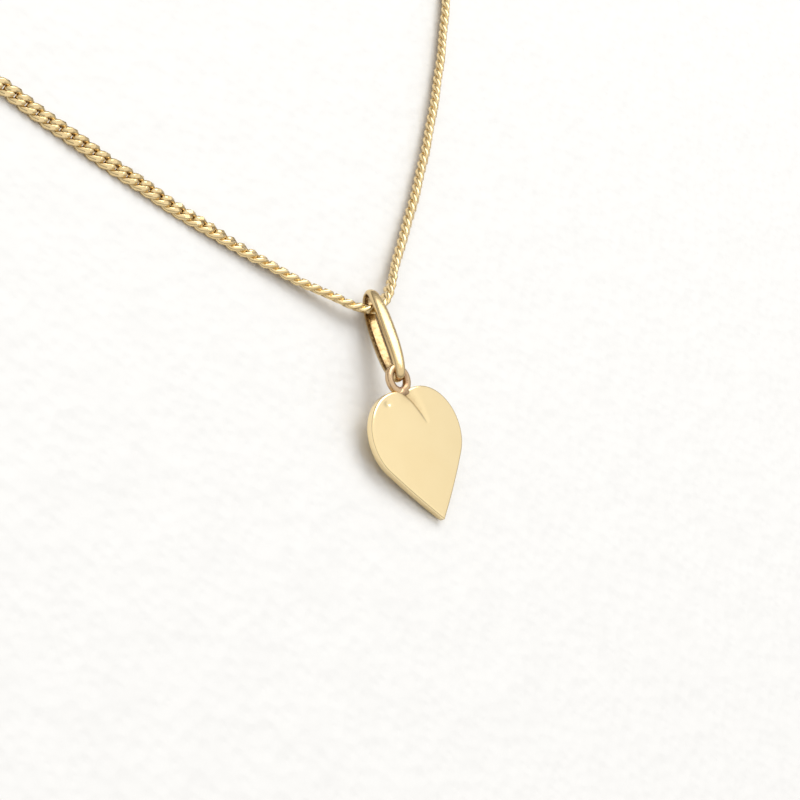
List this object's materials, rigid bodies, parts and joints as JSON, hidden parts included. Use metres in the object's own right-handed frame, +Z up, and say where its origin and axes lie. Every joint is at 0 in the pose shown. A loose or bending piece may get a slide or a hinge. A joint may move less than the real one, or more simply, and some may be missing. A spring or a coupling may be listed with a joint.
{
  "type": "pendant necklace",
  "caption": "Fine curb chain with an oval bail, a flat polished heart pendant on a soldered eyelet, and a bolt-ring clasp left undone.",
  "frame": {"origin": "middle of the necklace laid flat, on the surface it lies on", "axes": "+Z up; +Y from the heart towards the two open ends of the chain; +X towards the end with the catch ring"},
  "size_m": [0.1591, 0.1928, 0.004],
  "materials": {
    "chain_gold": "polished yellow gold, filed flat on top",
    "bail_gold": "worn polished yellow gold with fine scratches",
    "heart_gold": "mirror polished yellow gold, lightly scratched",
    "clasp_gold": "polished yellow gold",
    "spring_steel": "bright drawn wire"
  },
  "bodies": {
    "chain_middle": {"chain_middle": "chain_gold"},
    "chain_left_01": {"chain_left_01": "chain_gold"},
    "chain_left_02": {"chain_left_02": "chain_gold"},
    "chain_left_03": {"chain_left_03": "chain_gold"},
    "chain_left_04": {"chain_left_04": "chain_gold"},
    "chain_left_05": {"chain_left_05": "chain_gold"},
    "chain_left_06": {"chain_left_06": "chain_gold"},
    "chain_left_07": {"chain_left_07": "chain_gold"},
    "chain_left_08": {"chain_left_08": "chain_gold"},
    "chain_left_09": {"chain_left_09": "chain_gold"},
    "chain_left_10": {"chain_left_10": "chain_gold"},
    "chain_left_11": {"chain_left_11": "chain_gold"},
    "chain_left_12": {"chain_left_12": "chain_gold"},
    "chain_right_01": {"chain_right_01": "chain_gold"},
    "chain_right_02": {"chain_right_02": "chain_gold"},
    "chain_right_03": {"chain_right_03": "chain_gold"},
    "chain_right_04": {"chain_right_04": "chain_gold"},
    "chain_right_05": {"chain_right_05": "chain_gold"},
    "chain_right_06": {"chain_right_06": "chain_gold"},
    "chain_right_07": {"chain_right_07": "chain_gold"},
    "chain_right_08": {"chain_right_08": "chain_gold"},
    "chain_right_09": {"chain_right_09": "chain_gold"},
    "chain_right_10": {"chain_right_10": "chain_gold"},
    "chain_right_11": {"chain_right_11": "chain_gold"},
    "chain_right_12": {"chain_right_12": "chain_gold"},
    "bail": {"bail": "bail_gold"},
    "heart": {"heart_plate": "heart_gold", "heart_eyelet": "bail_gold"},
    "clasp_ring": {"clasp_ring": "chain_gold"},
    "clasp": {"clasp_tube": "clasp_gold", "clasp_loop": "clasp_gold", "clasp_spring": "spring_steel"},
    "clasp_bolt": {"clasp_bolt": "clasp_gold", "clasp_thumb_knob": "clasp_gold"},
    "catch_ring": {"catch_ring": "chain_gold"}
  },
  "joints": [
    {"name": "left_drape_01", "type": "hinge", "parent": "chain_middle", "child": "chain_left_01", "pos_m": [-0.00611, -0.07423, 0.00076], "axis": [0.6047, 0.7965, 0], "range_deg": [-25, 25]},
    {"name": "left_sway_02", "type": "hinge", "parent": "chain_left_01", "child": "chain_left_02", "pos_m": [-0.01797, -0.06441, 0.00066], "axis": [0, 0, 1], "range_deg": [-15, 15]},
    {"name": "left_drape_03", "type": "hinge", "parent": "chain_left_02", "child": "chain_left_03", "pos_m": [-0.02896, -0.05363, 0.00066], "axis": [0.7298, 0.6837, 0], "range_deg": [-25, 25]},
    {"name": "left_sway_04", "type": "hinge", "parent": "chain_left_03", "child": "chain_left_04", "pos_m": [-0.039, -0.04196, 0.00058], "axis": [0, 0, 1], "range_deg": [-15, 15]},
    {"name": "left_drape_05", "type": "hinge", "parent": "chain_left_04", "child": "chain_left_05", "pos_m": [-0.04803, -0.02949, 0.00066], "axis": [0.8342, 0.5515, 0], "range_deg": [-25, 25]},
    {"name": "left_sway_06", "type": "hinge", "parent": "chain_left_05", "child": "chain_left_06", "pos_m": [-0.05597, -0.0163, 0.00066], "axis": [0, 0, 1], "range_deg": [-15, 15]},
    {"name": "left_drape_07", "type": "hinge", "parent": "chain_left_06", "child": "chain_left_07", "pos_m": [-0.06277, -0.00249, 0.00058], "axis": [0.9149, 0.4037, 0], "range_deg": [-25, 25]},
    {"name": "left_sway_08", "type": "hinge", "parent": "chain_left_07", "child": "chain_left_08", "pos_m": [-0.06839, 0.01185, 0.00066], "axis": [0, 0, 1], "range_deg": [-15, 15]},
    {"name": "left_drape_09", "type": "hinge", "parent": "chain_left_08", "child": "chain_left_09", "pos_m": [-0.07278, 0.0266, 0.00066], "axis": [0.9696, 0.2445, 0], "range_deg": [-25, 25]},
    {"name": "left_sway_10", "type": "hinge", "parent": "chain_left_09", "child": "chain_left_10", "pos_m": [-0.07591, 0.04168, 0.00058], "axis": [0, 0, 1], "range_deg": [-15, 15]},
    {"name": "left_drape_11", "type": "hinge", "parent": "chain_left_10", "child": "chain_left_11", "pos_m": [-0.07777, 0.05696, 0.00066], "axis": [0.9969, 0.0783, 0], "range_deg": [-25, 25]},
    {"name": "left_sway_12", "type": "hinge", "parent": "chain_left_11", "child": "chain_left_12", "pos_m": [-0.07832, 0.07235, 0.00066], "axis": [0, 0, 1], "range_deg": [-15, 15]},
    {"name": "right_drape_01", "type": "hinge", "parent": "chain_middle", "child": "chain_right_01", "pos_m": [0.00611, -0.07423, 0.00076], "axis": [0.6047, -0.7965, 0], "range_deg": [-25, 25]},
    {"name": "right_sway_02", "type": "hinge", "parent": "chain_right_01", "child": "chain_right_02", "pos_m": [0.01797, -0.06441, 0.00066], "axis": [0, 0, 1], "range_deg": [-15, 15]},
    {"name": "right_drape_03", "type": "hinge", "parent": "chain_right_02", "child": "chain_right_03", "pos_m": [0.02896, -0.05363, 0.00066], "axis": [0.7298, -0.6837, 0], "range_deg": [-25, 25]},
    {"name": "right_sway_04", "type": "hinge", "parent": "chain_right_03", "child": "chain_right_04", "pos_m": [0.039, -0.04196, 0.00058], "axis": [0, 0, 1], "range_deg": [-15, 15]},
    {"name": "right_drape_05", "type": "hinge", "parent": "chain_right_04", "child": "chain_right_05", "pos_m": [0.04803, -0.02949, 0.00066], "axis": [0.8342, -0.5515, 0], "range_deg": [-25, 25]},
    {"name": "right_sway_06", "type": "hinge", "parent": "chain_right_05", "child": "chain_right_06", "pos_m": [0.05597, -0.0163, 0.00066], "axis": [0, 0, 1], "range_deg": [-15, 15]},
    {"name": "right_drape_07", "type": "hinge", "parent": "chain_right_06", "child": "chain_right_07", "pos_m": [0.06277, -0.00249, 0.00058], "axis": [0.9149, -0.4037, 0], "range_deg": [-25, 25]},
    {"name": "right_sway_08", "type": "hinge", "parent": "chain_right_07", "child": "chain_right_08", "pos_m": [0.06839, 0.01185, 0.00066], "axis": [0, 0, 1], "range_deg": [-15, 15]},
    {"name": "right_drape_09", "type": "hinge", "parent": "chain_right_08", "child": "chain_right_09", "pos_m": [0.07278, 0.0266, 0.00066], "axis": [0.9696, -0.2445, 0], "range_deg": [-25, 25]},
    {"name": "right_sway_10", "type": "hinge", "parent": "chain_right_09", "child": "chain_right_10", "pos_m": [0.07591, 0.04168, 0.00058], "axis": [0, 0, 1], "range_deg": [-15, 15]},
    {"name": "right_drape_11", "type": "hinge", "parent": "chain_right_10", "child": "chain_right_11", "pos_m": [0.07777, 0.05696, 0.00066], "axis": [0.9969, -0.0783, 0], "range_deg": [-25, 25]},
    {"name": "right_sway_12", "type": "hinge", "parent": "chain_right_11", "child": "chain_right_12", "pos_m": [0.07832, 0.07235, 0.00066], "axis": [0, 0, 1], "range_deg": [-15, 15]},
    {"name": "bail_swing", "type": "hinge", "parent": "chain_middle", "child": "bail", "pos_m": [-0.0002, -0.07769, 0.00127], "axis": [1, 0, 0], "range_deg": [-4, 34]},
    {"name": "heart_swing", "type": "hinge", "parent": "bail", "child": "heart", "pos_m": [-0.00336, -0.08453, 0.0028], "axis": [0.042, 0.0861, 0.9954], "range_deg": [-35, 35]},
    {"name": "clasp_ring_hinge", "type": "hinge", "parent": "chain_left_12", "child": "clasp_ring", "pos_m": [-0.07759, 0.08769, 0.00101], "axis": [0.9962, -0.0871, 0], "range_deg": [-30, 30]},
    {"name": "clasp_hinge", "type": "hinge", "parent": "clasp_ring", "child": "clasp", "pos_m": [-0.07749, 0.08876, 0.0008], "axis": [0, 0, -1], "range_deg": [-10, 20]},
    {"name": "clasp_bolt_turn", "type": "hinge", "parent": "clasp", "child": "clasp_bolt", "pos_m": [-0.07709, 0.09339, 0.00075], "axis": [0, 0, -1], "range_deg": [0, 58], "stiffness_Nm_per_rad": 0.00002, "springref_deg": -28.65, "deforming": ["clasp_spring"]},
    {"name": "catch_ring_hinge", "type": "hinge", "parent": "chain_right_12", "child": "catch_ring", "pos_m": [0.07759, 0.08769, 0.00101], "axis": [0.9962, 0.0871, 0], "range_deg": [-30, 30]}
  ]
}
